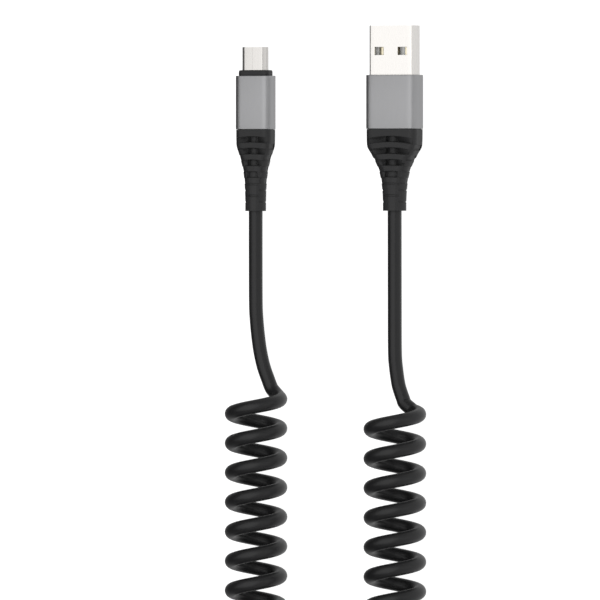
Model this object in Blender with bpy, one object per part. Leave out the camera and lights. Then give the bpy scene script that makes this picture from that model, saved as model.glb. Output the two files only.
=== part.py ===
"""A coiled charging cable, lying on the floor with a type A plug at one end and a micro B plug at the other.

The plugs point along +Y and share the line on which their boots end. Z = 0 is the floor.
"""
import math

import bmesh
import bpy
from mathutils import Matrix, Vector

MM = 0.001

# Clearances: between pieces that are pressed or moulded together, and at the ends of the cord.
FIT_GAP = 0.05 * MM
CORD_GAP = 0.3 * MM

# Fineness of the shapes.
SHARP_ANGLE = math.radians(35)
LARGEST_CORNER_SHARE = 0.47
BOOT_RINGS = 10
BOOT_CORE_SIDES = 16
LEAD_STEP_IN_DIAMETERS = 2.5
COIL_BEND_STEPS = 18
COIL_SIDES_RESOLUTION = 6
LEAD_SIDES_RESOLUTION = 2

# The two plugs lie side by side.
PLUG_SPACING = 38.4 * MM
SLEEVE_CORNER = 1.6 * MM
SLEEVE_WALL = 0.5 * MM
SLEEVE_EDGE = 0.15 * MM
SHELL_DEPTH_IN_CORE = 3.5 * MM
CORE_RECESS = 0.2 * MM
INSULATOR_BLOCK = 4.5 * MM
TONGUE_SETBACK = 0.6 * MM
CONTACT_SETBACK = 1.0 * MM

# Boots: full width behind the sleeve, then narrowing to a round end, with slots on all four sides.
BOOT_LENGTH = 20.2 * MM
BOOT_INSET = 0.1 * MM
BOOT_SHOULDER = 3.8 * MM
BOOT_TAPER_POWER = 2.7
BOOT_ROUND_SHARE = 0.4
BOOT_CORE_RADIUS = 1.85 * MM
SLOT_START = 1.85 * MM
SLOT_PITCH = 2.9 * MM
SLOT_LENGTH = 1.35 * MM
FINE_SLOT_LENGTH = 0.4 * MM
SLOT_ROWS = 6
OPEN_SLOT_ROWS = 4
SLOT_DEPTH = 2.0 * MM
SIDE_SLOT_DEPTH = 1.3 * MM
SLOT_FLOOR = 1.0 * MM
SLOT_WIDTH_SHARE = 0.62
SIDE_SLOT_SHARE = 0.56

# Type A plug.
TYPE_A_SHELL_WIDTH = 12.0 * MM
TYPE_A_SHELL_HEIGHT = 4.5 * MM
TYPE_A_SHELL_WALL = 0.32 * MM
TYPE_A_SHELL_CORNER = 0.6 * MM
TYPE_A_SHELL_EXPOSED = 12.2 * MM
TYPE_A_CORE_WALL = 0.3 * MM
TYPE_A_SLEEVE_LENGTH = 13.3 * MM
TYPE_A_BOOT_END = 5.85 * MM
TYPE_A_TONGUE = 1.85 * MM
WINDOW_WIDTH = 2.5 * MM
WINDOW_LENGTH = 2.0 * MM
WINDOW_SPREAD = 6.3 * MM
WINDOW_FROM_TIP = 6.3 * MM
TYPE_A_CONTACT_WIDTH = 1.0 * MM
TYPE_A_CONTACT_THICKNESS = 0.15 * MM
TYPE_A_CONTACT_PLACES = (-3.5 * MM, -1.0 * MM, 1.0 * MM, 3.5 * MM)

# Micro B plug. Its shell has one wide face, below, and a narrow one above two slanted corners.
MICRO_B_SHELL_WIDTH = 6.85 * MM
MICRO_B_SHELL_NARROW = 5.0 * MM
MICRO_B_SHELL_HEIGHT = 1.8 * MM
MICRO_B_SHELL_SLANT = 1.0 * MM
MICRO_B_SHELL_WALL = 0.25 * MM
MICRO_B_SHELL_CORNER = 0.3 * MM
MICRO_B_SHELL_EXPOSED = 5.7 * MM
MICRO_B_SHELL_LIFT = 0.6 * MM
MICRO_B_CORE_SIDE_WALL = 0.775 * MM
MICRO_B_CORE_TOP_WALL = 1.15 * MM
MICRO_B_COLLAR_INSET = 0.1 * MM
MICRO_B_COLLAR_LENGTH = 1.4 * MM
MICRO_B_COLLAR_CORNER = 1.2 * MM
MICRO_B_COLLAR_EDGE = 0.35 * MM
MICRO_B_SLEEVE_LENGTH = 13.25 * MM
MICRO_B_BOOT_END = 5.2 * MM
MICRO_B_TONGUE = 0.5 * MM
MICRO_B_CONTACT_WIDTH = 0.37 * MM
MICRO_B_CONTACT_THICKNESS = 0.1 * MM
MICRO_B_CONTACT_PITCH = 0.65 * MM
MICRO_B_CONTACTS = 5

# Cord. The coil lies in a U: two straight legs and one bend.
CORD_DIAMETER = 3.45 * MM
COIL_DIAMETER = 15.5 * MM
TYPE_A_COIL_ASIDE = 2.28 * MM
MICRO_B_COIL_ASIDE = 2.6 * MM
TYPE_A_COIL_START = -71.35 * MM
MICRO_B_COIL_START = -67.65 * MM
COIL_BEND_START = -127.3 * MM

# Routes of the leads from boot to coil, in millimetres.
TYPE_A_LEAD_ROUTE = (
    (18.15, -34.0, 3.12),
    (18.12, -46.0, 3.02),
    (18.05, -57.4, 2.78),
    (18.17, -61.3, 2.46),
    (18.58, -65.3, 2.04),
    (19.09, -67.3, 1.87),
    (19.80, -69.2, 1.80),
    (20.35, -70.4, 1.79),
)
MICRO_B_LEAD_ROUTE = (
    (-20.25, -34.0, 2.65),
    (-20.23, -45.5, 2.60),
    (-20.10, -49.5, 2.47),
    (-19.80, -53.4, 2.27),
    (-19.30, -57.4, 2.07),
    (-18.44, -61.3, 1.86),
    (-17.10, -64.8, 1.82),
    (-16.30, -66.6, 1.86),
)

# Sizes that follow: each core fits round its shell, and each sleeve fits round its core.
CORE_TO_SLEEVE = FIT_GAP + SLEEVE_WALL
TYPE_A_SLEEVE_WIDTH = TYPE_A_SHELL_WIDTH + 2 * (FIT_GAP + TYPE_A_CORE_WALL + CORE_TO_SLEEVE)
TYPE_A_SLEEVE_HEIGHT = TYPE_A_SHELL_HEIGHT + 2 * (FIT_GAP + TYPE_A_CORE_WALL + CORE_TO_SLEEVE)
MICRO_B_SLEEVE_WIDTH = MICRO_B_SHELL_WIDTH + 2 * (FIT_GAP + MICRO_B_CORE_SIDE_WALL + CORE_TO_SLEEVE)
MICRO_B_SLEEVE_HEIGHT = MICRO_B_SHELL_HEIGHT + 2 * (FIT_GAP + MICRO_B_CORE_TOP_WALL + CORE_TO_SLEEVE)

# Places that follow. The origin lies midway along and across the two plugs.
TYPE_A_LENGTH = TYPE_A_SHELL_EXPOSED + TYPE_A_SLEEVE_LENGTH + BOOT_LENGTH
BOOT_END_Y = -TYPE_A_LENGTH / 2
SLEEVE_BACK_Y = BOOT_END_Y + BOOT_LENGTH
MICRO_B_X = (MICRO_B_SLEEVE_WIDTH - TYPE_A_SLEEVE_WIDTH) / 4 - PLUG_SPACING / 2
TYPE_A_X = MICRO_B_X + PLUG_SPACING
TYPE_A_Z = TYPE_A_SLEEVE_HEIGHT / 2
MICRO_B_Z = MICRO_B_SLEEVE_HEIGHT / 2


def principled(name, colour, roughness, metallic=0.0):
    """Make a plain material with one colour."""
    material = bpy.data.materials.new(name)
    material.use_nodes = True
    shader = material.node_tree.nodes["Principled BSDF"]
    shader.inputs["Base Color"].default_value = (*colour, 1.0)
    shader.inputs["Roughness"].default_value = roughness
    shader.inputs["Metallic"].default_value = metallic
    return material


def rectangle(width, height):
    """Corners of a rectangle in a plug's cross section, as (x, z)."""
    return [
        (-width / 2, -height / 2),
        (width / 2, -height / 2),
        (width / 2, height / 2),
        (-width / 2, height / 2),
    ]


def rounded(corners, radius, steps=5):
    """Turn each corner of a convex outline into an arc."""
    outline = []
    for index, corner in enumerate(corners):
        here = Vector(corner)
        back = (Vector(corners[index - 1]) - here).normalized()
        ahead = (Vector(corners[(index + 1) % len(corners)]) - here).normalized()
        half_angle = back.angle(ahead) / 2
        centre = here + (back + ahead).normalized() * radius / math.sin(half_angle)
        start = here + back * radius / math.tan(half_angle) - centre
        for step in range(steps + 1):
            turn = (math.pi - 2 * half_angle) * step / steps
            outline.append(centre + Matrix.Rotation(turn, 2) @ start)
    return outline


def rounded_rectangle(width, height, radius):
    """Outline of a rectangle with round corners, which always keep a short straight side between them."""
    largest = LARGEST_CORNER_SHARE * min(width, height)
    return rounded(rectangle(width, height), min(radius, largest))


def finish_object(name, mesh, material, plug=None):
    """Put a mesh in the scene under its plug's empty, round parts shaded smooth."""
    thing = bpy.data.objects.new(name, mesh)
    bpy.context.scene.collection.objects.link(thing)
    if material:
        mesh.materials.append(material)
        mesh.shade_smooth()
        mesh.set_sharp_from_angle(angle=SHARP_ANGLE)
    thing.parent = plug
    return thing


def loft(name, rings, material, plug, ring_shaped=False):
    """Skin a row of (y, outline) sections. A ring-shaped one closes on itself and has no end faces."""
    mesh = bpy.data.meshes.new(name)
    model = bmesh.new()
    loops = [[model.verts.new((x, y, z)) for x, z in outline] for y, outline in rings]
    following = loops[1:] + loops[:1] if ring_shaped else loops[1:]
    for loop, next_loop in zip(loops, following):
        count = len(loop)
        for index in range(count):
            after = (index + 1) % count
            model.faces.new((loop[index], loop[after], next_loop[after], next_loop[index]))
    if not ring_shaped:
        model.faces.new(loops[0])
        model.faces.new(loops[-1])
    bmesh.ops.recalc_face_normals(model, faces=model.faces)
    model.to_mesh(mesh)
    model.free()
    return finish_object(name, mesh, material, plug)


def box_mesh(name, boxes):
    """Make one mesh of separate boxes, each given as its low and high corner."""
    mesh = bpy.data.meshes.new(name)
    model = bmesh.new()
    for low, high in boxes:
        middle = (Vector(low) + Vector(high)) / 2
        size = Vector(high) - Vector(low)
        place = Matrix.Translation(middle) @ Matrix.Diagonal((*size, 1.0))
        bmesh.ops.create_cube(model, size=1.0, matrix=place)
    model.to_mesh(mesh)
    model.free()
    return mesh


def shape_with(target, tool, operation="DIFFERENCE"):
    """Cut a hidden tool out of the target, or join it to the target."""
    tool.hide_render = True
    tool.display_type = "WIRE"
    modifier = target.modifiers.new(tool.name, "BOOLEAN")
    modifier.operation = operation
    modifier.solver = "EXACT"
    modifier.object = tool


def boot_size(distance, start_width, start_height, end_diameter):
    """Width and height of a boot at a distance behind its sleeve."""
    run = max(0.0, distance - BOOT_SHOULDER) / (BOOT_LENGTH - BOOT_SHOULDER)
    taper = (1 - run) ** BOOT_TAPER_POWER
    width = end_diameter + (start_width - end_diameter) * taper
    height = end_diameter + (start_height - end_diameter) * taper
    return width, height


def boot_rings(start_width, start_height, end_diameter):
    """Sections of a boot from its flat front to its round end."""
    distances = [FIT_GAP]
    for step in range(BOOT_RINGS + 1):
        distances.append(BOOT_SHOULDER + (BOOT_LENGTH - BOOT_SHOULDER) * step / BOOT_RINGS)
    rings = []
    for distance in distances:
        width, height = boot_size(distance, start_width, start_height, end_diameter)
        run = max(0.0, distance - BOOT_SHOULDER) / (BOOT_LENGTH - BOOT_SHOULDER)
        roundness = min(1.0, run / BOOT_ROUND_SHARE)
        corner = SLEEVE_CORNER + (end_diameter / 2 - SLEEVE_CORNER) * roundness
        rings.append((SLEEVE_BACK_Y - distance, rounded_rectangle(width, height, corner)))
    return rings


def cut_boot_slots(boot, start_width, start_height, end_diameter):
    """Cut rows of slots above and below, and staggered ones on both sides, down to a round core."""
    boxes = []
    for row in range(SLOT_ROWS):
        length = SLOT_LENGTH if row < OPEN_SLOT_ROWS else FINE_SLOT_LENGTH
        front = SLOT_START + row * SLOT_PITCH
        width, height = boot_size(front + length / 2, start_width, start_height, end_diameter)
        half_slot = SLOT_WIDTH_SHARE * width / 2
        floor = max(height / 2 - SLOT_DEPTH, SLOT_FLOOR)
        top = height / 2 + SLOT_DEPTH
        front_y = SLEEVE_BACK_Y - front
        boxes.append(((-half_slot, front_y - length, floor), (half_slot, front_y, top)))
        boxes.append(((-half_slot, front_y - length, -top), (half_slot, front_y, -floor)))

        side_front = front + SLOT_PITCH / 2
        width, height = boot_size(side_front + length / 2, start_width, start_height, end_diameter)
        half_slot = SIDE_SLOT_SHARE * height / 2
        floor = max(width / 2 - SIDE_SLOT_DEPTH, SLOT_FLOOR)
        side = width / 2 + SLOT_DEPTH
        front_y = SLEEVE_BACK_Y - side_front
        boxes.append(((floor, front_y - length, -half_slot), (side, front_y, half_slot)))
        boxes.append(((-side, front_y - length, -half_slot), (-floor, front_y, half_slot)))
    slots = finish_object(boot.name + "_slots", box_mesh(boot.name + "_slots", boxes), None, boot.parent)
    shape_with(boot, slots)

    core_mesh = bpy.data.meshes.new(boot.name + "_core")
    model = bmesh.new()
    centre_y = SLEEVE_BACK_Y - BOOT_LENGTH / 2
    place = Matrix.Translation((0, centre_y, 0)) @ Matrix.Rotation(math.pi / 2, 4, "X")
    bmesh.ops.create_cone(model, cap_ends=True, segments=BOOT_CORE_SIDES, radius1=BOOT_CORE_RADIUS,
                          radius2=BOOT_CORE_RADIUS, depth=BOOT_LENGTH - SLOT_START, matrix=place)
    model.to_mesh(core_mesh)
    model.free()
    core = finish_object(boot.name + "_core", core_mesh, None, boot.parent)
    shape_with(boot, core, "UNION")


def make_sleeve(name, width, height, length, material, plug):
    """A drawn metal tube with rounded corners and softened edges."""
    front = SLEEVE_BACK_Y + length
    outer = rounded_rectangle(width, height, SLEEVE_CORNER)
    end = rounded_rectangle(width - 2 * SLEEVE_EDGE, height - 2 * SLEEVE_EDGE, SLEEVE_CORNER - SLEEVE_EDGE)
    inner = rounded_rectangle(width - 2 * SLEEVE_WALL, height - 2 * SLEEVE_WALL, SLEEVE_CORNER - SLEEVE_WALL)
    rings = [
        (front, end),
        (front - SLEEVE_EDGE, outer),
        (SLEEVE_BACK_Y + SLEEVE_EDGE, outer),
        (SLEEVE_BACK_Y, end),
        (SLEEVE_BACK_Y, inner),
        (front, inner),
    ]
    return loft(name, rings, material, plug, ring_shaped=True)


def core_outline(sleeve_width, sleeve_height):
    """Section of the moulding where it fills the sleeve."""
    width = sleeve_width - 2 * CORE_TO_SLEEVE
    height = sleeve_height - 2 * CORE_TO_SLEEVE
    return rounded_rectangle(width, height, SLEEVE_CORNER - CORE_TO_SLEEVE)


def empty(name, x, z):
    """An empty on a plug's axis, which carries the plug's pieces."""
    holder = bpy.data.objects.new(name, None)
    holder.location = (x, 0, z)
    bpy.context.scene.collection.objects.link(holder)
    return holder


def make_shell(name, outer, inner, back, tip, material, plug):
    """A folded sheet-metal shell, open at both ends."""
    rings = [(back, outer), (tip, outer), (tip, inner), (back, inner)]
    return loft(name, rings, material, plug, ring_shaped=True)


def make_contacts(name, places, width, thickness, bottom, back, front, material, plug):
    """Flat contact strips, side by side on the tongue."""
    for number, x in enumerate(places, start=1):
        box = ((x - width / 2, back, bottom), (x + width / 2, front, bottom + thickness))
        node = f"{name}_{number}"
        finish_object(node, box_mesh(node, [box]), material, plug)


def make_type_a_plug(materials):
    """Shell with windows, insulator, contacts, metal sleeve and moulded boot."""
    plug = empty("type_a_plug", TYPE_A_X, TYPE_A_Z)
    sleeve_front = SLEEVE_BACK_Y + TYPE_A_SLEEVE_LENGTH
    core_front = sleeve_front - CORE_RECESS
    tip = sleeve_front + TYPE_A_SHELL_EXPOSED
    shell_back = core_front - SHELL_DEPTH_IN_CORE
    inner_width = TYPE_A_SHELL_WIDTH - 2 * TYPE_A_SHELL_WALL
    inner_height = TYPE_A_SHELL_HEIGHT - 2 * TYPE_A_SHELL_WALL
    inner_corner = TYPE_A_SHELL_CORNER - TYPE_A_SHELL_WALL

    outer = rounded_rectangle(TYPE_A_SHELL_WIDTH, TYPE_A_SHELL_HEIGHT, TYPE_A_SHELL_CORNER)
    inner = rounded_rectangle(inner_width, inner_height, inner_corner)
    shell = make_shell("type_a_shell", outer, inner, shell_back, tip, materials["shell"], plug)
    window_boxes = []
    for side in (-1, 1):
        x = side * WINDOW_SPREAD / 2
        low = (x - WINDOW_WIDTH / 2, tip - WINDOW_FROM_TIP - WINDOW_LENGTH / 2, -TYPE_A_SHELL_HEIGHT)
        high = (x + WINDOW_WIDTH / 2, tip - WINDOW_FROM_TIP + WINDOW_LENGTH / 2, TYPE_A_SHELL_HEIGHT)
        window_boxes.append((low, high))
    shape_with(shell, finish_object("type_a_windows", box_mesh("type_a_windows", window_boxes), None, plug))

    fill_width = inner_width - 2 * FIT_GAP
    fill_height = inner_height - 2 * FIT_GAP
    fill = rounded_rectangle(fill_width, fill_height, inner_corner)
    block_front = shell_back + INSULATOR_BLOCK
    tongue_front = tip - TONGUE_SETBACK
    tongue_top = TYPE_A_TONGUE - fill_height / 2
    fill_rings = [(shell_back, fill), (tongue_front, fill)]
    insulator = loft("type_a_insulator", fill_rings, materials["insulator"], plug)
    cavity_low = (-TYPE_A_SHELL_WIDTH, block_front, tongue_top)
    cavity = (cavity_low, (TYPE_A_SHELL_WIDTH, tip, TYPE_A_SHELL_HEIGHT))
    shape_with(insulator, finish_object("type_a_cavity", box_mesh("type_a_cavity", [cavity]), None, plug))

    make_contacts("type_a_contact", TYPE_A_CONTACT_PLACES, TYPE_A_CONTACT_WIDTH, TYPE_A_CONTACT_THICKNESS,
                  tongue_top + FIT_GAP, block_front + FIT_GAP, tongue_front - CONTACT_SETBACK,
                  materials["contact"], plug)
    make_sleeve("type_a_sleeve", TYPE_A_SLEEVE_WIDTH, TYPE_A_SLEEVE_HEIGHT, TYPE_A_SLEEVE_LENGTH,
                materials["sleeve"], plug)

    boot_width = TYPE_A_SLEEVE_WIDTH - BOOT_INSET
    boot_height = TYPE_A_SLEEVE_HEIGHT - BOOT_INSET
    core = core_outline(TYPE_A_SLEEVE_WIDTH, TYPE_A_SLEEVE_HEIGHT)
    rings = [(core_front, core), (SLEEVE_BACK_Y - FIT_GAP, core)]
    rings += boot_rings(boot_width, boot_height, TYPE_A_BOOT_END)
    overmould = loft("type_a_overmould", rings, materials["overmould"], plug)
    pocket_outline = rounded_rectangle(TYPE_A_SHELL_WIDTH + 2 * FIT_GAP, TYPE_A_SHELL_HEIGHT + 2 * FIT_GAP,
                                       TYPE_A_SHELL_CORNER + FIT_GAP)
    pocket_rings = [(shell_back - FIT_GAP, pocket_outline), (tip, pocket_outline)]
    pocket = loft("type_a_pocket", pocket_rings, None, plug)
    shape_with(overmould, pocket)
    cut_boot_slots(overmould, boot_width, boot_height, TYPE_A_BOOT_END)


def micro_b_outline(inset, corner):
    """Section of the micro B shell, above the plug's axis and moved inwards by the inset."""
    half_wide = MICRO_B_SHELL_WIDTH / 2
    half_narrow = MICRO_B_SHELL_NARROW / 2
    half_height = MICRO_B_SHELL_HEIGHT / 2
    slant_run = half_wide - half_narrow
    slant_angle = math.atan2(slant_run, MICRO_B_SHELL_SLANT)
    narrow_shift = inset * (1 - math.sin(slant_angle)) / math.cos(slant_angle)
    low_shift = inset * (1 - math.cos(slant_angle)) / math.sin(slant_angle)
    top_x = half_narrow - narrow_shift
    side_x = half_wide - inset
    knee_z = half_height - MICRO_B_SHELL_SLANT - low_shift
    corners = [
        (-side_x, inset - half_height),
        (side_x, inset - half_height),
        (side_x, knee_z),
        (top_x, half_height - inset),
        (-top_x, half_height - inset),
        (-side_x, knee_z),
    ]
    lifted = [(x, z + MICRO_B_SHELL_LIFT) for x, z in corners]
    return rounded(lifted, corner, steps=3)


def make_micro_b_plug(materials):
    """Shell, insulator, contacts, metal sleeve, and one moulding that is collar, core and boot."""
    plug = empty("micro_b_plug", MICRO_B_X, MICRO_B_Z)
    sleeve_front = SLEEVE_BACK_Y + MICRO_B_SLEEVE_LENGTH
    collar_front = sleeve_front + MICRO_B_COLLAR_LENGTH
    tip = collar_front + MICRO_B_SHELL_EXPOSED
    shell_back = collar_front - MICRO_B_COLLAR_LENGTH - SHELL_DEPTH_IN_CORE

    inner_corner = MICRO_B_SHELL_CORNER - MICRO_B_SHELL_WALL / 2
    outer = micro_b_outline(0.0, MICRO_B_SHELL_CORNER)
    inner = micro_b_outline(MICRO_B_SHELL_WALL, inner_corner)
    make_shell("micro_b_shell", outer, inner, shell_back, tip, materials["shell"], plug)

    fill = micro_b_outline(MICRO_B_SHELL_WALL + FIT_GAP, inner_corner)
    block_front = shell_back + INSULATOR_BLOCK
    tongue_front = tip - TONGUE_SETBACK
    tongue_bottom = MICRO_B_SHELL_LIFT - MICRO_B_SHELL_HEIGHT / 2 + MICRO_B_SHELL_WALL + FIT_GAP
    tongue_top = tongue_bottom + MICRO_B_TONGUE
    fill_rings = [(shell_back, fill), (tongue_front, fill)]
    insulator = loft("micro_b_insulator", fill_rings, materials["insulator"], plug)
    cavity_low = (-MICRO_B_SHELL_WIDTH, block_front, tongue_top)
    cavity = (cavity_low, (MICRO_B_SHELL_WIDTH, tip, MICRO_B_SHELL_LIFT + MICRO_B_SHELL_HEIGHT))
    shape_with(insulator, finish_object("micro_b_cavity", box_mesh("micro_b_cavity", [cavity]), None, plug))

    middle = (MICRO_B_CONTACTS - 1) / 2
    places = [(number - middle) * MICRO_B_CONTACT_PITCH for number in range(MICRO_B_CONTACTS)]
    make_contacts("micro_b_contact", places, MICRO_B_CONTACT_WIDTH, MICRO_B_CONTACT_THICKNESS,
                  tongue_top + FIT_GAP, block_front + FIT_GAP, tongue_front - CONTACT_SETBACK,
                  materials["contact"], plug)
    make_sleeve("micro_b_sleeve", MICRO_B_SLEEVE_WIDTH, MICRO_B_SLEEVE_HEIGHT, MICRO_B_SLEEVE_LENGTH,
                materials["sleeve"], plug)

    boot_width = MICRO_B_SLEEVE_WIDTH - BOOT_INSET
    boot_height = MICRO_B_SLEEVE_HEIGHT - BOOT_INSET
    edge = MICRO_B_COLLAR_EDGE
    collar_width = MICRO_B_SLEEVE_WIDTH - 2 * (CORE_TO_SLEEVE + MICRO_B_COLLAR_INSET)
    collar_height = MICRO_B_SLEEVE_HEIGHT - 2 * (CORE_TO_SLEEVE + MICRO_B_COLLAR_INSET)
    collar = rounded_rectangle(collar_width, collar_height, MICRO_B_COLLAR_CORNER)
    collar_end = rounded_rectangle(collar_width - 2 * edge, collar_height - 2 * edge,
                                   MICRO_B_COLLAR_CORNER - edge)
    core = core_outline(MICRO_B_SLEEVE_WIDTH, MICRO_B_SLEEVE_HEIGHT)
    rings = [
        (collar_front, collar_end),
        (collar_front - edge, collar),
        (sleeve_front, collar),
        (sleeve_front - CORE_RECESS, core),
        (SLEEVE_BACK_Y - FIT_GAP, core),
    ]
    rings += boot_rings(boot_width, boot_height, MICRO_B_BOOT_END)
    overmould = loft("micro_b_overmould", rings, materials["overmould"], plug)
    pocket_outline = micro_b_outline(-FIT_GAP, MICRO_B_SHELL_CORNER)
    pocket_rings = [(shell_back - FIT_GAP, pocket_outline), (tip, pocket_outline)]
    pocket = loft("micro_b_pocket", pocket_rings, None, plug)
    shape_with(overmould, pocket)
    cut_boot_slots(overmould, boot_width, boot_height, MICRO_B_BOOT_END)


def smooth_route(points, longest_step):
    """Read a curve that passes smoothly through the points, at even steps within each span."""
    smooth = []
    for index in range(len(points) - 1):
        here, there = points[index], points[index + 1]
        before = points[index - 1] if index else here * 2 - there
        after = points[index + 2] if index + 2 < len(points) else there * 2 - here
        steps = max(1, math.ceil((there - here).length / longest_step))
        for step in range(steps):
            t = step / steps
            smooth.append(0.5 * (2 * here + (there - before) * t
                                 + (2 * before - 5 * here + 4 * there - after) * t ** 2
                                 + (3 * here - before - 3 * there + after) * t ** 3))
    smooth.append(points[-1])
    return smooth


def make_tube(name, points, radius, resolution, material):
    """A round tube along the points, with flat ends."""
    curve = bpy.data.curves.new(name, "CURVE")
    curve.dimensions = "3D"
    curve.bevel_depth = radius
    curve.bevel_resolution = resolution
    curve.use_fill_caps = True
    curve.materials.append(material)
    spline = curve.splines.new("POLY")
    spline.points.add(len(points) - 1)
    for spline_point, place in zip(spline.points, points):
        spline_point.co = (*place, 1.0)
    tube = bpy.data.objects.new(name, curve)
    bpy.context.scene.collection.objects.link(tube)


def make_lead(name, plug_x, plug_z, route, coil_start, material):
    """The straight stretch of cord between a boot and the coil."""
    points = [Vector((plug_x, BOOT_END_Y - CORD_GAP, plug_z))]
    points += [Vector(place) * MM for place in route]
    last = points[-1].copy()
    last.y = coil_start + CORD_GAP
    points.append(last)
    longest_step = LEAD_STEP_IN_DIAMETERS * CORD_DIAMETER
    make_tube(name, smooth_route(points, longest_step), CORD_DIAMETER / 2, LEAD_SIDES_RESOLUTION, material)


def make_coil(material):
    """The coiled stretch as one solid of its outer diameter: two legs on the floor, joined by a bend."""
    left = MICRO_B_X + MICRO_B_COIL_ASIDE
    right = TYPE_A_X + TYPE_A_COIL_ASIDE
    middle = (left + right) / 2
    bend_radius = (right - left) / 2
    height = COIL_DIAMETER / 2
    points = [Vector((left, MICRO_B_COIL_START, height))]
    for step in range(COIL_BEND_STEPS + 1):
        angle = math.pi * step / COIL_BEND_STEPS
        x = middle - bend_radius * math.cos(angle)
        y = COIL_BEND_START - bend_radius * math.sin(angle)
        points.append(Vector((x, y, height)))
    points.append(Vector((right, TYPE_A_COIL_START, height)))
    make_tube("coil", points, COIL_DIAMETER / 2, COIL_SIDES_RESOLUTION, material)


def main():
    for thing in list(bpy.data.objects):
        bpy.data.objects.remove(thing)
    materials = {
        "shell": principled("plated_steel", (0.85, 0.85, 0.83), 0.2, 1.0),
        "insulator": principled("insulator_plastic", (0.5, 0.5, 0.5), 0.5),
        "contact": principled("gilt_contact", (0.8, 0.62, 0.3), 0.25, 1.0),
        "sleeve": principled("anodised_aluminium", (0.36, 0.36, 0.37), 0.4, 1.0),
        "overmould": principled("black_elastomer", (0.035, 0.035, 0.035), 0.6),
        "cord": principled("cord_jacket", (0.03, 0.03, 0.03), 0.45),
    }
    make_type_a_plug(materials)
    make_micro_b_plug(materials)
    make_lead("type_a_lead", TYPE_A_X, TYPE_A_Z, TYPE_A_LEAD_ROUTE, TYPE_A_COIL_START, materials["cord"])
    make_lead("micro_b_lead", MICRO_B_X, MICRO_B_Z, MICRO_B_LEAD_ROUTE, MICRO_B_COIL_START, materials["cord"])
    make_coil(materials["cord"])


main()
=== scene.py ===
import math

import bmesh
import bpy
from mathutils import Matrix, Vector


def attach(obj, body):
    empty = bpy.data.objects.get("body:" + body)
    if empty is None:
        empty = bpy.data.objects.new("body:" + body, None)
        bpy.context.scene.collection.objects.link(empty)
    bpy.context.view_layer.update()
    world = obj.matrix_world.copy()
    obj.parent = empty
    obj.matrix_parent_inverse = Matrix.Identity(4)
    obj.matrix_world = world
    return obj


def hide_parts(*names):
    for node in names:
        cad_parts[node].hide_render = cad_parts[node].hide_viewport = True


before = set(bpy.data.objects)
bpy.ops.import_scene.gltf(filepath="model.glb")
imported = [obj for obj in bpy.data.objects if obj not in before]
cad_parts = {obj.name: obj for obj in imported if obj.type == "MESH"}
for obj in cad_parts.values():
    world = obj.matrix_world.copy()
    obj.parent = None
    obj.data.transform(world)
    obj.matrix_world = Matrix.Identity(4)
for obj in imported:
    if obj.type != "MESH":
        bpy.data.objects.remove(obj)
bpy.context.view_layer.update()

# The view. The photograph looks down on the lying cable from a long way off, almost without
# perspective, and leans towards its right side. The picture's place and scale come from the two plugs.
MM = 0.001
scene = bpy.context.scene
view_lean = math.radians(26)
picture_right = Vector((math.cos(view_lean), 0, -math.sin(view_lean)))
towards_camera = Vector((math.sin(view_lean), 0, math.cos(view_lean)))
picture_width_px = 600
pixels_per_mm = 4.05
centre_to_the_right = -8.4 * MM
centre_y = -44.85 * MM
centre_above_floor = 3 * MM
picture_centre = (picture_right * centre_to_the_right + Vector((0, centre_y, 0))
                  + towards_camera * centre_above_floor)

camera_data = bpy.data.cameras.new("camera")
camera_data.lens = 1400
camera_data.sensor_width = 36
camera_distance = picture_width_px / pixels_per_mm * MM * camera_data.lens / camera_data.sensor_width
camera_data.clip_start = 0.05
camera_data.clip_end = 20
camera = bpy.data.objects.new("camera", camera_data)
camera.location = picture_centre + towards_camera * camera_distance
camera.rotation_euler = (0, view_lean, 0)
scene.collection.objects.link(camera)
scene.camera = camera
scene.view_settings.view_transform = "Standard"

# The cord. One round cable in a smooth black jacket, wound hot into a right-handed spring and left
# straight at both ends. It lies in a U: down one leg, round one bend, and back up the other leg.
cord_radius = 1.725 * MM
coil_radius = 6.02 * MM
coil_axis_height = 7.75 * MM
bend_start_y = -127.3 * MM
micro_b_coil_x = -17.65 * MM
type_a_coil_x = 20.43 * MM
micro_b_first_turn_y = -69.3 * MM
type_a_first_turn_y = -73.0 * MM
whole_turns = 23
micro_b_boot_end = Vector((-20.25, -22.85, 2.65)) * MM
type_a_boot_end = Vector((18.15, -22.85, 3.15)) * MM
cord_depth_in_boot = 1.0 * MM

type_a_lead_route = (
    (18.15, -34.0, 3.12),
    (18.12, -46.0, 3.02),
    (18.05, -57.4, 2.78),
    (18.17, -61.3, 2.46),
    (18.58, -65.3, 2.04),
    (19.09, -67.3, 1.87),
    (19.80, -69.2, 1.80),
    (20.35, -70.4, 1.79),
)
micro_b_lead_route = (
    (-20.25, -34.0, 2.65),
    (-20.23, -45.5, 2.60),
    (-20.10, -49.5, 2.47),
    (-19.80, -53.4, 2.27),
    (-19.30, -57.4, 2.07),
    (-18.44, -61.3, 1.86),
    (-17.10, -64.8, 1.82),
    (-16.30, -66.6, 1.86),
    (-15.40, -67.5, 2.14),
    (-14.33, -68.3, 2.73),
)

leg_down = micro_b_first_turn_y - bend_start_y
leg_up = type_a_first_turn_y - bend_start_y
bend_radius = (type_a_coil_x - micro_b_coil_x) / 2
bend_length = math.pi * bend_radius
coil_turns = whole_turns + 0.5 + view_lean / math.pi
coil_pitch = (leg_down + leg_up + bend_length) / coil_turns


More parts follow.
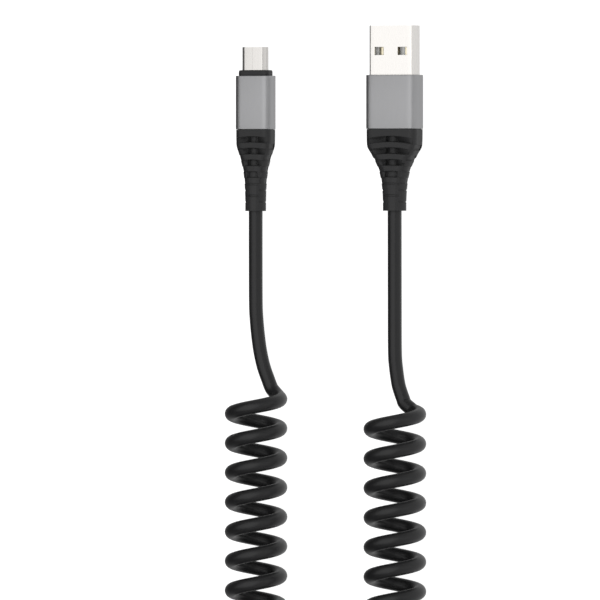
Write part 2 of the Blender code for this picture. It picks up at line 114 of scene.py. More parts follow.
def coil_point(travel):
    """A point of the cord, at a distance along the coil's own centre line."""
    if travel < leg_down:
        heading = 0.0
        axis = Vector((micro_b_coil_x, micro_b_first_turn_y - travel, coil_axis_height))
    elif travel < leg_down + bend_length:
        heading = (travel - leg_down) / bend_radius
        axis = Vector((micro_b_coil_x + bend_radius * (1 - math.cos(heading)),
                       bend_start_y - bend_radius * math.sin(heading), coil_axis_height))
    else:
        heading = math.pi
        axis = Vector((type_a_coil_x, bend_start_y + travel - leg_down - bend_length, coil_axis_height))
    inwards = Vector((math.cos(heading), math.sin(heading), 0))
    turn = 2 * math.pi * travel / coil_pitch - view_lean
    return axis + (inwards * math.cos(turn) + Vector((0, 0, 1)) * math.sin(turn)) * coil_radius


def smooth_route(points, steps):
    """A smooth curve through the points, with the same number of steps in each span."""
    smooth = []
    for index in range(len(points) - 1):
        here, there = points[index], points[index + 1]
        before = points[index - 1] if index else here * 2 - there
        after = points[index + 2] if index + 2 < len(points) else there * 2 - here
        for step in range(steps):
            t = step / steps
            smooth.append(0.5 * (2 * here + (there - before) * t
                                 + (2 * before - 5 * here + 4 * there - after) * t ** 2
                                 + (3 * here - before - 3 * there + after) * t ** 3))
    smooth.append(points[-1])
    return smooth


points_a_turn = 24
micro_b_early_turn = 15 / 360
type_a_late_turn = 40 / 360
lead_span_steps = 4
coil_span_steps = 2
first_travel = -micro_b_early_turn * coil_pitch
last_travel = leg_down + bend_length + leg_up + type_a_late_turn * coil_pitch
coil_steps = round((last_travel - first_travel) / coil_pitch * points_a_turn)
into_boot = Vector((0, cord_depth_in_boot, 0))
micro_b_lead = [micro_b_boot_end + into_boot] + [Vector(place) * MM for place in micro_b_lead_route]
type_a_lead = [type_a_boot_end + into_boot] + [Vector(place) * MM for place in type_a_lead_route]
coil = [coil_point(first_travel + (last_travel - first_travel) * step / coil_steps)
        for step in range(coil_steps + 1)]
cord_points = smooth_route(micro_b_lead + coil[:1], lead_span_steps)[:-1]
cord_points += smooth_route(coil, coil_span_steps)[:-1]
cord_points += smooth_route(coil[-1:] + type_a_lead[::-1], lead_span_steps)

cord_curve = bpy.data.curves.new("cord", "CURVE")
cord_curve.dimensions = "3D"
cord_curve.bevel_depth = cord_radius
cord_curve.bevel_resolution = 8
cord_curve.use_fill_caps = True
cord_spline = cord_curve.splines.new("POLY")
cord_spline.points.add(len(cord_points) - 1)
for spline_point, place in zip(cord_spline.points, cord_points):
    spline_point.co = (*place, 1.0)
cord_spline.use_smooth = True
cord = bpy.data.objects.new("cord", cord_curve)
scene.collection.objects.link(cord)


class Wire:
    """A value that runs through a material's nodes. Arithmetic on it adds Math nodes."""

    def __init__(self, tree, socket=None):
        self.tree = tree
        self.socket = socket

    def node(self, kind, settings=None, inputs=None, output=0):
        """Add a node: its settings first, then the values or wires of its sockets."""
        made = self.tree.nodes.new(kind)
        for name, value in (settings or {}).items():
            if name == "stops":
                for stop, (place, colour) in zip(made.color_ramp.elements, value):
                    stop.position = place
                    stop.color = (*colour, 1.0)
            else:
                setattr(made, name, value)
        for name, value in (inputs or {}).items():
            if isinstance(value, Wire):
                self.tree.links.new(value.socket, made.inputs[name])
            else:
                made.inputs[name].default_value = value
        return Wire(self.tree, made.outputs[output])

    def maths(self, operation, first, second):
        return self.node("ShaderNodeMath", {"operation": operation}, {0: first, 1: second})

    def __add__(self, other):
        return self.maths("ADD", self, other)

    def __radd__(self, other):
        return self.maths("ADD", other, self)

    def __mul__(self, other):
        return self.maths("MULTIPLY", self, other)

    def __rmul__(self, other):
        return self.maths("MULTIPLY", other, self)


def new_finish(name, metallic=0.0, specular=0.5):
    """An empty finish: its material, its shader and a wire to build from."""
    material = bpy.data.materials.new(name)
    material.use_nodes = True
    shader = material.node_tree.nodes["Principled BSDF"]
    shader.inputs["Metallic"].default_value = metallic
    shader.inputs["Specular IOR Level"].default_value = specular
    return material, shader, Wire(material.node_tree)


def grain(wire, per_metre, detail=3.0, stretch=(1.0, 1.0, 1.0)):
    """Noise in the piece's own coordinates, with about this many grains to the metre."""
    place = wire.node("ShaderNodeTexCoord", output="Object")
    stretched = wire.node("ShaderNodeMapping", None, {"Vector": place, "Scale": stretch})
    return wire.node("ShaderNodeTexNoise", None,
                     {"Vector": stretched, "Scale": per_metre, "Detail": detail})


def blend_colours(wire, mask, low, high):
    """From one colour to another as the mask goes from 0 to 1."""
    return wire.node("ShaderNodeValToRGB", {"stops": ((0.0, low), (1.0, high))}, {"Fac": mask})


def plug_in(wire, shader, colour=None, roughness=None, relief=None, relief_depth=0.0):
    """Lead what varies over the surface into the shader."""
    if colour:
        wire.tree.links.new(colour.socket, shader.inputs["Base Color"])
    if roughness:
        wire.tree.links.new(roughness.socket, shader.inputs["Roughness"])
    if relief:
        bump = wire.node("ShaderNodeBump", None,
                         {"Height": relief, "Strength": 1.0, "Distance": relief_depth})
        wire.tree.links.new(bump.socket, shader.inputs["Normal"])


# Black, smooth and a little glossy, with a faint cloudiness and a very fine grain.
jacket, jacket_shader, wire = new_finish("cord_jacket", specular=0.22)
cloudy = grain(wire, 130)
plug_in(wire, jacket_shader,
        colour=blend_colours(wire, cloudy, (0.007, 0.007, 0.0075), (0.012, 0.012, 0.0125)),
        roughness=0.33 + 0.12 * cloudy,
        relief=grain(wire, 2600), relief_depth=0.012 * MM)
cord_curve.materials.append(jacket)

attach(cord, "root")
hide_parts("type_a_lead", "micro_b_lead", "coil")

# The type A moulding, of black elastomer, moulded in one piece round the cord and the shell. It fills
# the sleeve, grips the shell and runs on behind as a slotted boot that lets the cord bend.
sleeve_back_y = -2.65 * MM
boot_length = 20.2 * MM
boot_shoulder = 3.8 * MM
shoulder_rounding = 0.8 * MM
boot_taper_power = 2.7
boot_inset = 0.1 * MM
boot_rounding_rate = 2.5
fullest_corner = 0.49
sleeve_corner = 1.6 * MM
ring_points = 64
flat_side_angle = math.radians(32)
same_point = 0.0005 * MM


def on_section(angle, width, height, corner):
    """Where the ring's point at an angle lies on a rectangle with round corners."""
    quarter = math.pi / 2
    side = round(angle / quarter)
    off = angle - side * quarter
    along = max(-1.0, min(1.0, off / flat_side_angle))
    past_flat = max(0.0, abs(off) - flat_side_angle)
    lean = math.copysign(past_flat / (quarter / 2 - flat_side_angle) * quarter / 2, off)
    facing = Vector((math.cos(side * quarter), math.sin(side * quarter)))
    across = Vector((-facing.y, facing.x))
    inner = facing + across * along
    direction = side * quarter + lean
    return Vector((inner.x * (width / 2 - corner) + corner * math.cos(direction),
                   inner.y * (height / 2 - corner) + corner * math.sin(direction)))


def ring_edges(ring):
    """The edges between neighbours of one ring."""
    members = set(ring)
    return [edge for vert in ring for edge in vert.link_edges
            if edge.other_vert(vert) in members and edge.verts[0] == vert]


def draw_rings(model, sections):
    """Extrude one ring of points along a list of (y, width, height, corner) sections."""
    angle = model.verts.layers.float.new("angle")
    ring = bmesh.ops.create_circle(model, segments=ring_points, radius=1.0)["verts"]
    for vert in ring:
        vert[angle] = math.atan2(vert.co.y, vert.co.x)
    rings = []
    for number, (y, width, height, corner) in enumerate(sections):
        if number:
            grown = bmesh.ops.extrude_edge_only(model, edges=ring_edges(ring))["geom"]
            ring = [part for part in grown if isinstance(part, bmesh.types.BMVert)]
        for vert in ring:
            place = on_section(vert[angle], width, height, corner)
            vert.co = (place.x, y, place.y)
        rings.append(ring)
    return rings


def finished_piece(name, model, place, material, node):
    """Turn a model about a plug's own axis into a piece that stands for its node."""
    bmesh.ops.remove_doubles(model, verts=model.verts, dist=same_point)
    bmesh.ops.recalc_face_normals(model, faces=model.faces)
    bmesh.ops.translate(model, verts=model.verts, vec=place)
    mesh = bpy.data.meshes.new(name)
    model.to_mesh(mesh)
    model.free()
    mesh.shade_smooth()
    mesh.materials.append(material)
    piece = bpy.data.objects.new(name, mesh)
    scene.collection.objects.link(piece)
    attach(piece, "root")
    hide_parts(node)
    return piece


def subdivided(piece, levels):
    """Round the piece off with a live subdivision surface."""
    modifier = piece.modifiers.new("rounding", "SUBSURF")
    modifier.levels = levels
    modifier.render_levels = levels


def boot_section(distance, start_width, start_height, end_diameter):
    """Width, height and corner of a boot at a distance behind its sleeve."""
    past = distance - boot_shoulder
    softly_past = (past + math.sqrt(past ** 2 + shoulder_rounding ** 2)) / 2
    run = min(1.0, softly_past / (boot_length - boot_shoulder))
    taper = (1 - run) ** boot_taper_power
    width = end_diameter + (start_width - end_diameter) * taper
    height = end_diameter + (start_height - end_diameter) * taper
    corner = sleeve_corner + (end_diameter / 2 - sleeve_corner) * min(1.0, boot_rounding_rate * run)
    return width, height, min(corner, fullest_corner * min(width, height))


slot_start = 1.75 * MM
slot_pitch = 2.9 * MM
slot_length = slot_pitch / 2
fine_slot_length = 0.4 * MM
open_slot_depths = (1.0, 1.0, 0.9, 0.55)
slot_width_shares = (0.9, 0.86, 0.78, 0.7, 0.68, 0.68)
groove_depth = 0.35 * MM
fine_groove_depth = 0.2 * MM
pocket_floor = 1.0 * MM
gap_width = 0.08 * MM
shelf_edge = 0.2 * MM
shelf_drop = 0.2 * MM
ramp_share = 0.9
ramp_start = 3
side_slot_share = 0.68
side_slot_depth = 0.35 * MM
side_zone = 0.3
face_zone = 0.2
lip = 0.1 * MM
end_band = 1.2 * MM
closest_rings = 0.04 * MM
hair = 0.01 * MM
hole_edge = 0.08 * MM
hole_depth = 1.3 * MM
cord_clearance = 0.03 * MM
crisp_angle = math.radians(40)
crispness = 0.6
rounding_levels = 2


def slot_spans():
    """Start and end of each slot behind the sleeve, and whether it lies on the sides."""
    spans = []
    for row in range(len(slot_width_shares)):
        length = slot_length if row < len(open_slot_depths) else fine_slot_length
        for on_side in (False, True):
            start = slot_start + row * slot_pitch + (slot_pitch / 2 if on_side else 0.0)
            spans.append((start, start + length, on_side, row))
    return spans


def boot_distances():
    """Where the boot's rings lie: at both edges and the middle of each slot, and beside the edges."""
    distances = {0.0, lip, boot_length - lip, boot_length - 2 * lip, boot_length}
    for start, end, _, _ in slot_spans():
        distances |= {start, (start + end) / 2, end}
    distances |= {slot_start - lip, boot_shoulder, boot_length - end_band}
    kept = []
    for distance in sorted(distances):
        if not kept or distance - kept[-1] > closest_rings:
            kept.append(distance)
    return kept


def cut_across(model, place, normal):
    """Cut every face along a plane, to give an edge there."""
    bmesh.ops.bisect_plane(model, geom=model.verts[:] + model.edges[:] + model.faces[:],
                           plane_co=place, plane_no=normal)


def sink_faces(model, faces):
    """Extrude a patch of faces away from the faces round it, and return the patch's points."""
    grown = bmesh.ops.extrude_face_region(model, geom=faces)["geom"]
    bmesh.ops.delete(model, geom=faces, context="FACES")
    return [part for part in grown if isinstance(part, bmesh.types.BMVert)]


def slot_level(x, surface, rise, core_radius, half_width):
    """Height of a slot's floor: a shelf that falls inwards, a gap, and the bare core in the middle."""
    gap_end = math.sqrt(core_radius ** 2 - pocket_floor ** 2) + gap_width
    floor = pocket_floor
    if abs(x) > gap_end + hair:
        climb = min(1.0, (abs(x) - gap_end) / (half_width - gap_end))
        shelf = core_radius - shelf_drop
        floor = shelf + (surface - groove_depth - shelf) * climb
        floor += (surface - floor) * ramp_share * rise * min(1.0, ramp_start * climb)
    return max(math.sqrt(max(0.0, core_radius ** 2 - x ** 2)), floor)


def press_slots(model, start_width, start_height, end_diameter, core_radius, arch):
    """Sink the slots: above and below, shelves that deepen to one edge and bare the core. On the sides,
    plain ones. Then bow all of them backwards at the sides."""
    crevice = math.sqrt(core_radius ** 2 - pocket_floor ** 2)
    for x in (crevice / 2, crevice, crevice + gap_width, crevice + gap_width + shelf_edge):
        cut_across(model, (x, 0, 0), (1, 0, 0))
        cut_across(model, (-x, 0, 0), (1, 0, 0))
    for start, end, on_side, row in slot_spans():
        middle = (start + end) / 2
        width, height, _ = boot_section(middle, start_width, start_height, end_diameter)
        deep = row < len(open_slot_depths)
        half_width = slot_width_shares[row] * width / 2
        for sign in (-1, 1):
            faces = []
            for face in model.faces:
                centre = face.calc_center_median()
                if not start < sleeve_back_y - centre.y < end:
                    continue
                if on_side:
                    wanted = (centre.x * sign > side_zone * width
                              and abs(centre.z) < side_slot_share * height / 2)
                else:
                    wanted = centre.z * sign > face_zone * height and abs(centre.x) < half_width
                if wanted:
                    faces.append(face)
            for vert in sink_faces(model, faces):
                if on_side:
                    vert.co.x -= sign * (side_slot_depth if deep else fine_groove_depth)
                    continue
                level = abs(vert.co.z) - fine_groove_depth
                if deep:
                    along = (sleeve_back_y - vert.co.y - start) / (end - start)
                    rise = along if vert.co.x < 0 else 1 - along
                    surface = abs(vert.co.z)
                    sunk = surface - slot_level(vert.co.x, surface, rise, core_radius, half_width)
                    level = surface - open_slot_depths[row] * sunk
                vert.co.z = sign * level
    for vert in model.verts:
        distance = sleeve_back_y - vert.co.y
        if 0 < distance < boot_length:
            fade = min(1.0, distance / slot_start) * min(1.0, (boot_length - distance) / slot_pitch)
            vert.co.y -= arch * fade * (vert.co.x / (start_width / 2)) ** 2


def keep_edges_crisp(model):
    """Mark the edges that turn sharply, so that subdivision rounds them only a little."""
    crease = model.edges.layers.float.new("crease_edge")
    for edge in model.edges:
        if len(edge.link_faces) == 2 and edge.calc_face_angle() > crisp_angle:
            edge[crease] = crispness


def close_with_hole(model, ring):
    """Close a boot's round end down to the hole that the cord goes into."""
    radius = cord_radius + cord_clearance
    grown = bmesh.ops.extrude_edge_only(model, edges=ring_edges(ring))["geom"]
    hole = [part for part in grown if isinstance(part, bmesh.types.BMVert)]
    for vert in hole:
        flat = Vector((vert.co.x, 0, vert.co.z)).normalized() * radius
        vert.co.x = flat.x
        vert.co.z = flat.z
    for step in (hole_edge, hole_depth):
        grown = bmesh.ops.extrude_edge_only(model, edges=ring_edges(hole))["geom"]
        hole = [part for part in grown if isinstance(part, bmesh.types.BMVert)]
        bmesh.ops.translate(model, verts=hole, vec=(0, step, 0))
    bmesh.ops.contextual_create(model, geom=ring_edges(hole))


# Matt black, as it comes from a mould that was blasted with fine grit.
elastomer, elastomer_shader, wire = new_finish("moulded_elastomer", specular=0.28)
cloudy = grain(wire, 260)
plug_in(wire, elastomer_shader,
        colour=blend_colours(wire, cloudy, (0.008, 0.008, 0.0085), (0.013, 0.013, 0.0135)),
        roughness=0.5 + 0.12 * cloudy,
        relief=grain(wire, 5200, 2.0), relief_depth=0.012 * MM)

type_a_axis = Vector((18.15 * MM, 0, 3.15 * MM))
type_a_sleeve = (13.8 * MM, 6.3 * MM, 13.3 * MM)
type_a_boot_diameter = 5.85 * MM
type_a_core_radius = 1.65 * MM
type_a_shell = (12.0 * MM, 4.5 * MM)
type_a_pocket_corner = 0.65 * MM
sleeve_wall = 0.5 * MM
fit = 0.05 * MM
shell_depth = 3.5 * MM
core_recess = 0.2 * MM
boot_arch = 0.8 * MM


def core_size(sleeve):
    """Width, height and corner of the core that fills a sleeve."""
    inset = sleeve_wall + fit
    return sleeve[0] - 2 * inset, sleeve[1] - 2 * inset, sleeve_corner - inset


def pocket_size(shell):
    """Width and height of the pocket that a shell sits in."""
    return shell[0] + 2 * fit, shell[1] + 2 * fit


def boot_sections(start_width, start_height, end_diameter):
    """From the boot's front face, flush behind the sleeve, to its round end."""
    front = sleeve_back_y - fit
    first = boot_section(0.0, start_width, start_height, end_diameter)
    sections = [(front, first[0] - 2 * lip, first[1] - 2 * lip, first[2] - lip),
                (front, first[0] - lip / 2, first[1] - lip / 2, first[2])]
    for distance in boot_distances()[1:]:
        section = boot_section(distance, start_width, start_height, end_diameter)
        sections.append((sleeve_back_y - distance, *section))
    return sections


model = bmesh.new()
type_a_core_front = sleeve_back_y + type_a_sleeve[2] - core_recess
pocket = pocket_size(type_a_shell)
core = core_size(type_a_sleeve)
start = (type_a_sleeve[0] - boot_inset, type_a_sleeve[1] - boot_inset, type_a_boot_diameter)
core_sections = [
    (type_a_core_front - shell_depth, *pocket, type_a_pocket_corner),
    (type_a_core_front - lip, *pocket, type_a_pocket_corner),
    (type_a_core_front, pocket[0] + lip, pocket[1] + lip, type_a_pocket_corner),
    (type_a_core_front, core[0] - lip, core[1] - lip, core[2]),
    (type_a_core_front - lip, *core),
    (sleeve_back_y - fit, *core),
]
rings = draw_rings(model, core_sections + boot_sections(*start))
bmesh.ops.contextual_create(model, geom=ring_edges(rings[0]))
close_with_hole(model, rings[-1])
press_slots(model, *start, type_a_core_radius, boot_arch)
keep_edges_crisp(model)
type_a_moulding = finished_piece("type_a_moulding", model, type_a_axis, elastomer, "type_a_overmould")
subdivided(type_a_moulding, rounding_levels)

# The micro B moulding, of the same elastomer and made in the same way. It is narrower, and its core
# stands out of the sleeve's front as a collar round the shell.
micro_b_axis = Vector((-20.25 * MM, 0, 2.65 * MM))
micro_b_sleeve = (9.6 * MM, 5.3 * MM, 13.25 * MM)
micro_b_boot_diameter = 5.2 * MM
micro_b_core_radius = 1.45 * MM
micro_b_boot_arch = boot_arch / 2
micro_b_shell = (6.85 * MM, 1.8 * MM)
micro_b_pocket_corner = 0.3 * MM
micro_b_slant = 1.0 * MM
micro_b_slant_lean = 0.925
micro_b_lift = Vector((0, 0, 0.6 * MM))
collar_size = (8.3 * MM, 4.0 * MM, 1.4 * MM)
collar_corner = 1.2 * MM
collar_edge = 0.35 * MM
collar_chamfer = 0.3 * collar_edge

model = bmesh.new()
sleeve_front = sleeve_back_y + micro_b_sleeve[2]
collar_front = sleeve_front + collar_size[2]
micro_b_back = sleeve_front - shell_depth
pocket = pocket_size(micro_b_shell)
core = core_size(micro_b_sleeve)
start = (micro_b_sleeve[0] - boot_inset, micro_b_sleeve[1] - boot_inset, micro_b_boot_diameter)
collar_sections = [
    (micro_b_back, *pocket, micro_b_pocket_corner),
    (collar_front - lip, *pocket, micro_b_pocket_corner),
    (collar_front, pocket[0] + lip, pocket[1] + lip, micro_b_pocket_corner),
    (collar_front, collar_size[0] - 2 * collar_edge, collar_size[1] - 2 * collar_edge,
     collar_corner - collar_edge),
    (collar_front - collar_chamfer, collar_size[0] - 2 * collar_chamfer,
     collar_size[1] - 2 * collar_chamfer, collar_corner - collar_chamfer),
    (collar_front - collar_edge, *collar_size[:2], collar_corner),
    (sleeve_front + lip, *collar_size[:2], collar_corner),
    (sleeve_front, collar_size[0] - lip, collar_size[1] - lip, collar_corner),
    (sleeve_front, core[0] - 2 * lip, core[1] - 2 * lip, core[2]),
    (sleeve_front - core_recess, *core),
    (sleeve_back_y - fit, *core),
]
rings = draw_rings(model, collar_sections + boot_sections(*start))
for vert in rings[0] + rings[1] + rings[2]:
    above_knee = vert.co.z - (micro_b_shell[1] / 2 - micro_b_slant)
    limit = micro_b_shell[0] / 2 + fit - max(0.0, above_knee) * micro_b_slant_lean
    vert.co.x = max(-limit, min(limit, vert.co.x))
    vert.co.z += micro_b_lift.z
bmesh.ops.contextual_create(model, geom=ring_edges(rings[0]))
close_with_hole(model, rings[-1])
press_slots(model, *start, micro_b_core_radius, micro_b_boot_arch)
keep_edges_crisp(model)
micro_b_moulding = finished_piece("micro_b_moulding", model, micro_b_axis, elastomer, "micro_b_overmould")
subdivided(micro_b_moulding, rounding_levels)

# The sleeves. Drawn aluminium tube with round corners and slightly crowned broad faces, cut to length,
# its ends deburred, then bead-blasted and anodised a satin grey. Each is pushed over its moulding's core.
sleeve_edge = 0.15 * MM
sleeve_edge_steps = 3
sleeve_crown = 0.1 * MM
sleeve_sharp_angle = math.radians(40)

anodised, anodised_shader, wire = new_finish("anodised_aluminium", metallic=1.0)
satin = grain(wire, 900, 4.0, (1.0, 0.25, 1.0))
plug_in(wire, anodised_shader,
        colour=blend_colours(wire, satin, (0.24, 0.24, 0.245), (0.28, 0.28, 0.285)),
        roughness=0.44 + 0.1 * satin,
        relief=grain(wire, 9000, 2.0), relief_depth=0.006 * MM)


def make_sleeve(name, axis, size, node):
    """A tube with round corners, crowned faces and softened ends."""
    width, height, length = size
    front = sleeve_back_y + length
    bore = (width - 2 * sleeve_wall, height - 2 * sleeve_wall, sleeve_corner - sleeve_wall)
    sections = []
    for end, inwards in ((front, -1), (sleeve_back_y, 1)):
        arc = []
        for step in range(sleeve_edge_steps + 1):
            turn = math.pi / 2 * step / sleeve_edge_steps
            drop = sleeve_edge * (1 - math.sin(turn))
            arc.append((end + inwards * sleeve_edge * (1 - math.cos(turn)),
                        width - 2 * drop, height - 2 * drop, sleeve_corner - drop))
        sections += arc if inwards < 0 else arc[::-1]
    sections += [(sleeve_back_y, *bore), (front, *bore)]
    model = bmesh.new()
    rings = draw_rings(model, sections)
    bmesh.ops.bridge_loops(model, edges=ring_edges(rings[0]) + ring_edges(rings[-1]))
    for vert in model.verts:
        drop = sleeve_crown * (vert.co.x / (width / 2)) ** 2
        vert.co.z *= 1 - drop / (height / 2)
    piece = finished_piece(name, model, axis, anodised, node)
    piece.data.set_sharp_from_angle(angle=sleeve_sharp_angle)


make_sleeve("type_a_sleeve_tube", type_a_axis, type_a_sleeve, "type_a_sleeve")
make_sleeve("micro_b_sleeve_tube", micro_b_axis, micro_b_sleeve, "micro_b_sleeve")

# The shells. Sheet steel folded into a tube round the plug's insulator and nickel-plated bright. The
# type A shell has two square windows in each broad face, and the micro B one has two slanted corners.
type_a_shell_exposed = 12.2 * MM
type_a_wall = 0.32 * MM
type_a_corner = 0.6 * MM
window_size = (2.5 * MM, 2.0 * MM)
window_spread = 6.3 * MM
window_from_tip = 6.3 * MM
micro_b_shell_exposed = 5.7 * MM
micro_b_wall = 0.25 * MM
micro_b_corner = 0.18 * MM
micro_b_slant_cut = 0.95 * MM
micro_b_seam_x = -0.2 * MM
seam_width = 0.03 * MM
cut_edge = 0.05 * MM
cut_edge_angle = math.radians(50)
sharp_angle = math.radians(35)
nearly = 0.9
shortest_long_edge = 1.0 * MM


def plating(name, low, high):
    """Bright plate over drawn steel, with faint marks along the plug."""
    material, shader, wire = new_finish(name, metallic=1.0)
    drawn = grain(wire, 700, 4.0, (4.0, 0.3, 4.0))
    plug_in(wire, shader, colour=blend_colours(wire, drawn, low, high), roughness=0.22 + 0.12 * drawn,
            relief=drawn, relief_depth=0.002 * MM)
    return material


bright_nickel = plating("bright_nickel", (0.505, 0.49, 0.475), (0.56, 0.545, 0.525))
warm_nickel = plating("warm_nickel", (0.41, 0.40, 0.385), (0.465, 0.45, 0.435))


def folded_tube(width, height, back, tip):
    """An open tube of four flat sides, as a cube without its ends."""
    model = bmesh.new()
    bmesh.ops.create_cube(model, size=1.0)
    ends = [face for face in model.faces if abs(face.normal.y) > nearly]
    bmesh.ops.delete(model, geom=ends, context="FACES_ONLY")
    bmesh.ops.scale(model, verts=model.verts, vec=(width, tip - back, height))
    bmesh.ops.translate(model, verts=model.verts, vec=(0, (tip + back) / 2, 0))
    return model


def long_edges(model, wanted):
    """The edges along the plug whose place passes a test."""
    return [edge for edge in model.edges
            if abs(edge.verts[0].co.y - edge.verts[1].co.y) > shortest_long_edge
            and wanted((edge.verts[0].co + edge.verts[1].co) / 2)]


def sink_seam(model, x, sign, height):
    """The butt seam where the folded sheet meets itself, as a fine groove."""
    for side in (-1, 1):
        cut_across(model, (x + side * seam_width / 2, 0, 0), (1, 0, 0))
    strip = [face for face in model.faces
             if abs(face.calc_center_median().x - x) < seam_width / 2
             and face.calc_center_median().z * sign > nearly * height / 2]
    bmesh.ops.translate(model, verts=sink_faces(model, strip), vec=(0, 0, -sign * seam_width))
    model.normal_update()
    groove_ends = [face for face in model.faces if abs(face.normal.y) > nearly]
    bmesh.ops.delete(model, geom=groove_ends, context="FACES")


def sheet_metal(piece, wall):
    """Give the folded sheet its thickness inwards and soften its cut edges."""
    thickness = piece.modifiers.new("wall", "SOLIDIFY")
    thickness.thickness = wall
    thickness.offset = -1.0
    thickness.use_even_offset = True
    softened = piece.modifiers.new("edges", "BEVEL")
    softened.width = cut_edge
    softened.segments = 2
    softened.limit_method = "ANGLE"
    softened.angle_limit = cut_edge_angle
    softened.harden_normals = True
    piece.data.set_sharp_from_angle(angle=sharp_angle)


type_a_tip = sleeve_back_y + type_a_sleeve[2] + type_a_shell_exposed
type_a_back = type_a_core_front - shell_depth
model = folded_tube(*type_a_shell, type_a_back, type_a_tip)
bmesh.ops.bevel(model, geom=long_edges(model, lambda place: True), offset=type_a_corner,
                segments=5, profile=0.5, affect="EDGES", material=-1)
window_y = type_a_tip - window_from_tip
for side in (-1, 1):
    for edge in (-1, 1):
        window_edge = side * window_spread / 2 + edge * window_size[0] / 2
        cut_across(model, (window_edge, 0, 0), (1, 0, 0))
for edge in (-1, 1):
    cut_across(model, (0, window_y + edge * window_size[1] / 2, 0), (0, 1, 0))
windows = []
for face in model.faces:
    centre = face.calc_center_median()
    across = abs(abs(centre.x) - window_spread / 2) < window_size[0] / 2
    along = abs(centre.y - window_y) < window_size[1] / 2
    if across and along and abs(centre.z) > nearly * type_a_shell[1] / 2:
        windows.append(face)
bmesh.ops.delete(model, geom=windows, context="FACES")
sink_seam(model, 0.0, -1, type_a_shell[1])
type_a_shell_piece = finished_piece("type_a_folded_shell", model, type_a_axis, bright_nickel,
                                    "type_a_shell")
sheet_metal(type_a_shell_piece, type_a_wall)

micro_b_tip = collar_front + micro_b_shell_exposed
model = folded_tube(*micro_b_shell, micro_b_back, micro_b_tip)
bmesh.ops.bevel(model, geom=long_edges(model, lambda place: place.z > 0), offset=micro_b_slant_cut,
                segments=1, profile=0.5, affect="EDGES", material=-1)
bmesh.ops.bevel(model, geom=long_edges(model, lambda place: True), offset=micro_b_corner,
                segments=3, profile=0.5, affect="EDGES", material=-1)
sink_seam(model, micro_b_seam_x, 1, micro_b_shell[1])
micro_b_shell_piece = finished_piece("micro_b_folded_shell", model, micro_b_axis + micro_b_lift,
                                     warm_nickel, "micro_b_shell")
sheet_metal(micro_b_shell_piece, micro_b_wall)

# The insulators inside the shells: each one piece of moulded plastic, pressed into its shell. A block
# at the back carries a flat tongue, with a narrow groove on both sides of each contact's place.
insulator_block = 4.5 * MM
tongue_setback = 0.6 * MM
type_a_tongue_height = 1.85 * MM
type_a_contact_places = (-3.5 * MM, -1.0 * MM, 1.0 * MM, 3.5 * MM)
type_a_contact_width = 1.0 * MM
type_a_groove = 0.25 * MM
micro_b_block_slant = 0.75 * MM
micro_b_tongue_height = 0.5 * MM
micro_b_contact_pitch = 0.65 * MM
micro_b_contact_width = 0.37 * MM
micro_b_groove = 0.08 * MM

insulating, insulating_shader, wire = new_finish("insulator_plastic", specular=0.5)
cloudy = grain(wire, 400)
plug_in(wire, insulating_shader,
        colour=blend_colours(wire, cloudy, (0.86, 0.86, 0.84), (0.93, 0.93, 0.91)),
        roughness=0.42 + 0.1 * cloudy,
        relief=grain(wire, 6000, 2.0), relief_depth=0.004 * MM)


def make_insulator(name, node, axis, model, block_front, tip, tongue_top, places, contact_width,
                   groove):
    """Close the block's ends, extrude the tongue out of its front and press the grooves into it."""
    bmesh.ops.holes_fill(model, edges=[edge for edge in model.edges if edge.is_boundary], sides=0)
    cut_across(model, (0, 0, tongue_top), (0, 0, 1))
    lower_front = [face for face in model.faces
                   if face.calc_center_median().z < tongue_top
                   and abs(face.calc_center_median().y - block_front) < hair]
    bmesh.ops.translate(model, verts=sink_faces(model, lower_front),
                        vec=(0, tip - tongue_setback - block_front, 0))
    bmesh.ops.recalc_face_normals(model, faces=model.faces)
    for place in places:
        for side in (-1, 1):
            edge = place + side * contact_width / 2
            cut_across(model, (edge, 0, 0), (1, 0, 0))
            cut_across(model, (edge + side * groove, 0, 0), (1, 0, 0))
    for place in places:
        for side in (-1, 1):
            middle = place + side * (contact_width + groove) / 2
            strip = []
            for face in model.faces:
                centre = face.calc_center_median()
                if abs(centre.x - middle) < groove / 2 and abs(centre.z - tongue_top) < hair:
                    strip.append(face)
            bmesh.ops.translate(model, verts=sink_faces(model, strip), vec=(0, 0, -2 * groove))
    piece = finished_piece(name, model, axis, insulating, node)
    piece.data.set_sharp_from_angle(angle=sharp_angle)


fill = (type_a_shell[0] - 2 * (type_a_wall + fit), type_a_shell[1] - 2 * (type_a_wall + fit))
block_front = type_a_back + insulator_block
model = folded_tube(*fill, type_a_back, block_front)
bmesh.ops.bevel(model, geom=long_edges(model, lambda place: True), offset=type_a_corner - type_a_wall,
                segments=3, profile=0.5, affect="EDGES", material=-1)
make_insulator("type_a_tongue", "type_a_insulator", type_a_axis, model, block_front, type_a_tip,
               type_a_tongue_height - fill[1] / 2, type_a_contact_places, type_a_contact_width,
               type_a_groove)

fill = (micro_b_shell[0] - 2 * (micro_b_wall + fit), micro_b_shell[1] - 2 * (micro_b_wall + fit))
block_front = micro_b_back + insulator_block
model = folded_tube(*fill, micro_b_back, block_front)
bmesh.ops.bevel(model, geom=long_edges(model, lambda place: place.z > 0), offset=micro_b_block_slant,
                segments=1, profile=0.5, affect="EDGES", material=-1)
make_insulator("micro_b_tongue", "micro_b_insulator", micro_b_axis + micro_b_lift, model, block_front,
               micro_b_tip, micro_b_tongue_height - fill[1] / 2,
               [number * micro_b_contact_pitch for number in (-2, -1, 0, 1, 2)],
               micro_b_contact_width, micro_b_groove)

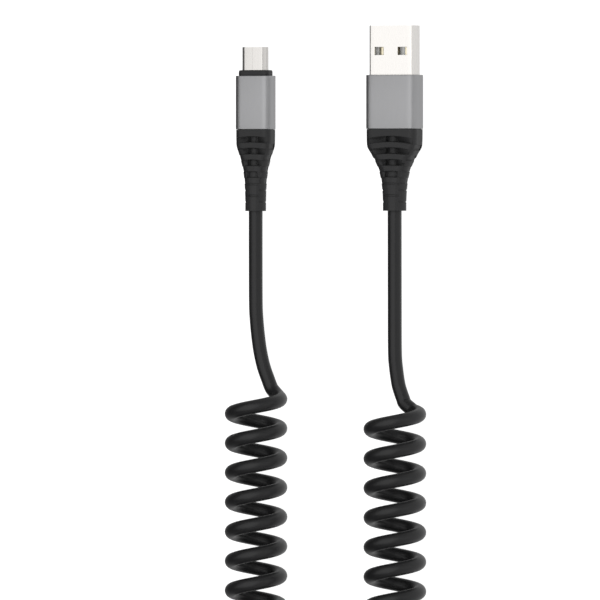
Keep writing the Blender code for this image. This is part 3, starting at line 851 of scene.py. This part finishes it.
# The contacts: thin strips stamped from copper and plated with gold. They lie side by side on the
# tongues, and the type A plug's show through its windows.
gilt, gilt_shader, wire = new_finish("gold_plate", metallic=1.0)
drawn = grain(wire, 1500, 3.0, (3.0, 0.3, 3.0))
plug_in(wire, gilt_shader,
        colour=blend_colours(wire, drawn, (0.52, 0.47, 0.34), (0.62, 0.565, 0.43)),
        roughness=0.16 + 0.14 * drawn)
for name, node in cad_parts.items():
    if "_contact_" in name:
        node.data.materials.clear()
        node.data.materials.append(gilt)

# The studio, which isn't part of the object: a plain pale floor, two soft lights, and soft light from
# all round that grows towards the lower right. Glossy faces show that light and not the floor.
floor_size = 3.0
floor_gap = 0.02 * MM
floor_grey = 0.25
floor_glow = 0.95
bright_side = math.radians(125)
dark_until = 0.08
brightest = 1.36
model = bmesh.new()
bmesh.ops.create_grid(model, x_segments=1, y_segments=1, size=floor_size / 2)
bmesh.ops.translate(model, verts=model.verts, vec=(0, 0, -floor_gap))
floor_mesh = bpy.data.meshes.new("floor")
model.to_mesh(floor_mesh)
model.free()
floor = bpy.data.objects.new("floor", floor_mesh)
scene.collection.objects.link(floor)
paper, paper_shader, wire = new_finish("white_paper", specular=0.1)
paper_shader.inputs["Base Color"].default_value = (floor_grey, floor_grey, floor_grey, 1.0)
paper_shader.inputs["Roughness"].default_value = 0.9
paper_shader.inputs["Emission Color"].default_value = (1.0, 1.0, 1.0, 1.0)
paper_shader.inputs["Emission Strength"].default_value = floor_glow
floor_mesh.materials.append(paper)
floor.visible_glossy = False

world = bpy.data.worlds.new("studio")
scene.world = world
world.use_nodes = True
wire = Wire(world.node_tree)
direction = wire.node("ShaderNodeTexCoord", output="Generated")
brightest_way = (math.sin(bright_side), 0, math.cos(bright_side))
towards_bright = wire.node("ShaderNodeVectorMath", {"operation": "DOT_PRODUCT"},
                           {0: direction, 1: brightest_way}, output="Value")
around = wire.node("ShaderNodeValToRGB",
                   {"stops": ((dark_until, (0.0, 0.0, 0.0)), (1.0, (brightest, brightest, brightest)))},
                   {"Fac": 0.5 + 0.5 * towards_bright})
background = world.node_tree.nodes["Background"]
wire.tree.links.new(around.socket, background.inputs["Color"])
background.inputs["Strength"].default_value = 1.0


def soft_light(name, place, size, watts):
    """A large square light that points at the cable."""
    data = bpy.data.lights.new(name, "AREA")
    data.shape = "SQUARE"
    data.size = size
    data.energy = watts
    light = bpy.data.objects.new(name, data)
    light.location = place
    light.rotation_euler = (picture_centre - Vector(place)).to_track_quat("-Z", "Y").to_euler()
    scene.collection.objects.link(light)


soft_light("overhead_light", (-0.12, 0.0, 0.95), 1.5, 13.6)
soft_light("right_light", (0.9, 0.0, 0.42), 0.5, 0.45)
